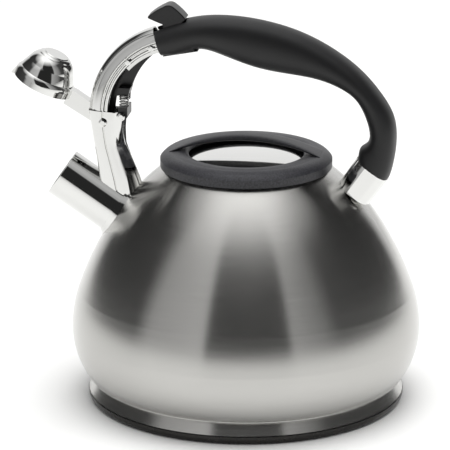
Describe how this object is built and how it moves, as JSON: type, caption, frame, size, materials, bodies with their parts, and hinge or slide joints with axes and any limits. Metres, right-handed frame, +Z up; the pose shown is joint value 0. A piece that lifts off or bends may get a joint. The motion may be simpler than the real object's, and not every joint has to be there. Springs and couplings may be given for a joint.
{
  "type": "stovetop whistling kettle",
  "caption": "Round-bellied steel kettle with a hinged whistle cap on a short spout, an arched handle with a thumb trigger and a ring-shaped lid.",
  "frame": {"origin": "centre of the base on the hob", "axes": "+Z up, the spout towards -X, the handle arches over the lid from -X to +X"},
  "size_m": [0.2584, 0.22, 0.2528],
  "materials": {
    "brushed_body": "stainless steel brushed round the body",
    "base_steel": "satin stainless steel base",
    "aluminium": "plain disc inside the base",
    "polished": "mirror polished steel",
    "soft_grip": "matt black soft-touch handle",
    "nylon": "black nylon",
    "lid_nylon": "dark grey-black nylon with a fine grain",
    "silicone": "dark silicone seal"
  },
  "bodies": {
    "kettle": {"body_shell": "brushed_body", "base_cap": "base_steel", "base_core": "aluminium", "spout_tube": "polished", "spout_collar": "polished", "front_bracket": "polished", "arm_pivot_pin": "polished", "spring_pin": "polished", "bracket_rivets": "polished", "spring_seat": "nylon", "return_spring": "polished", "handle_tongue": "polished", "handle_cover": "nylon", "rear_ferrule": "polished", "rear_mount": "polished", "rear_stud": "polished", "handle_grip": "soft_grip", "trigger_pin": "polished"},
    "whistle": {"whistle_arm": "polished", "arm_crank_pin": "polished", "whistle_cap": "polished", "cap_seal": "silicone", "whistle_holder": "polished", "whistle_disc": "polished", "whistle_stay": "polished"},
    "link": {"draw_link": "nylon", "link_pin": "polished"},
    "thumb_trigger": {"trigger": "nylon"},
    "lid": {"lid_pan": "polished", "lid_gasket": "silicone", "lid_ring": "lid_nylon", "lid_grip": "lid_nylon", "lid_screws": "polished"}
  },
  "joints": [
    {"name": "whistle_hinge", "type": "hinge", "parent": "kettle", "child": "whistle", "pos_m": [-0.0895, 0, 0.17652], "axis": [0, -1, 0], "range_deg": [0, 81]},
    {"name": "link_slide", "type": "hinge", "parent": "kettle", "child": "link", "pos_m": [-0.0406, 0, 0.18152], "axis": [0, -1, 0], "range_deg": [-4.43, 0], "deforming": ["return_spring"]},
    {"name": "trigger_hinge", "type": "hinge", "parent": "kettle", "child": "thumb_trigger", "pos_m": [-0.04625, 0, 0.23522], "axis": [0, -1, 0], "range_deg": [0, 23]},
    {"name": "lid_lift", "type": "slide", "parent": "kettle", "child": "lid", "axis": [0, 0, 1], "range_m": [0, 0.03]}
  ],
  "couplings": [
    {"joint": "link_slide", "follows": "whistle_hinge", "ratio": -0.054667},
    {"joint": "trigger_hinge", "follows": "whistle_hinge", "ratio": 0.28393}
  ]
}
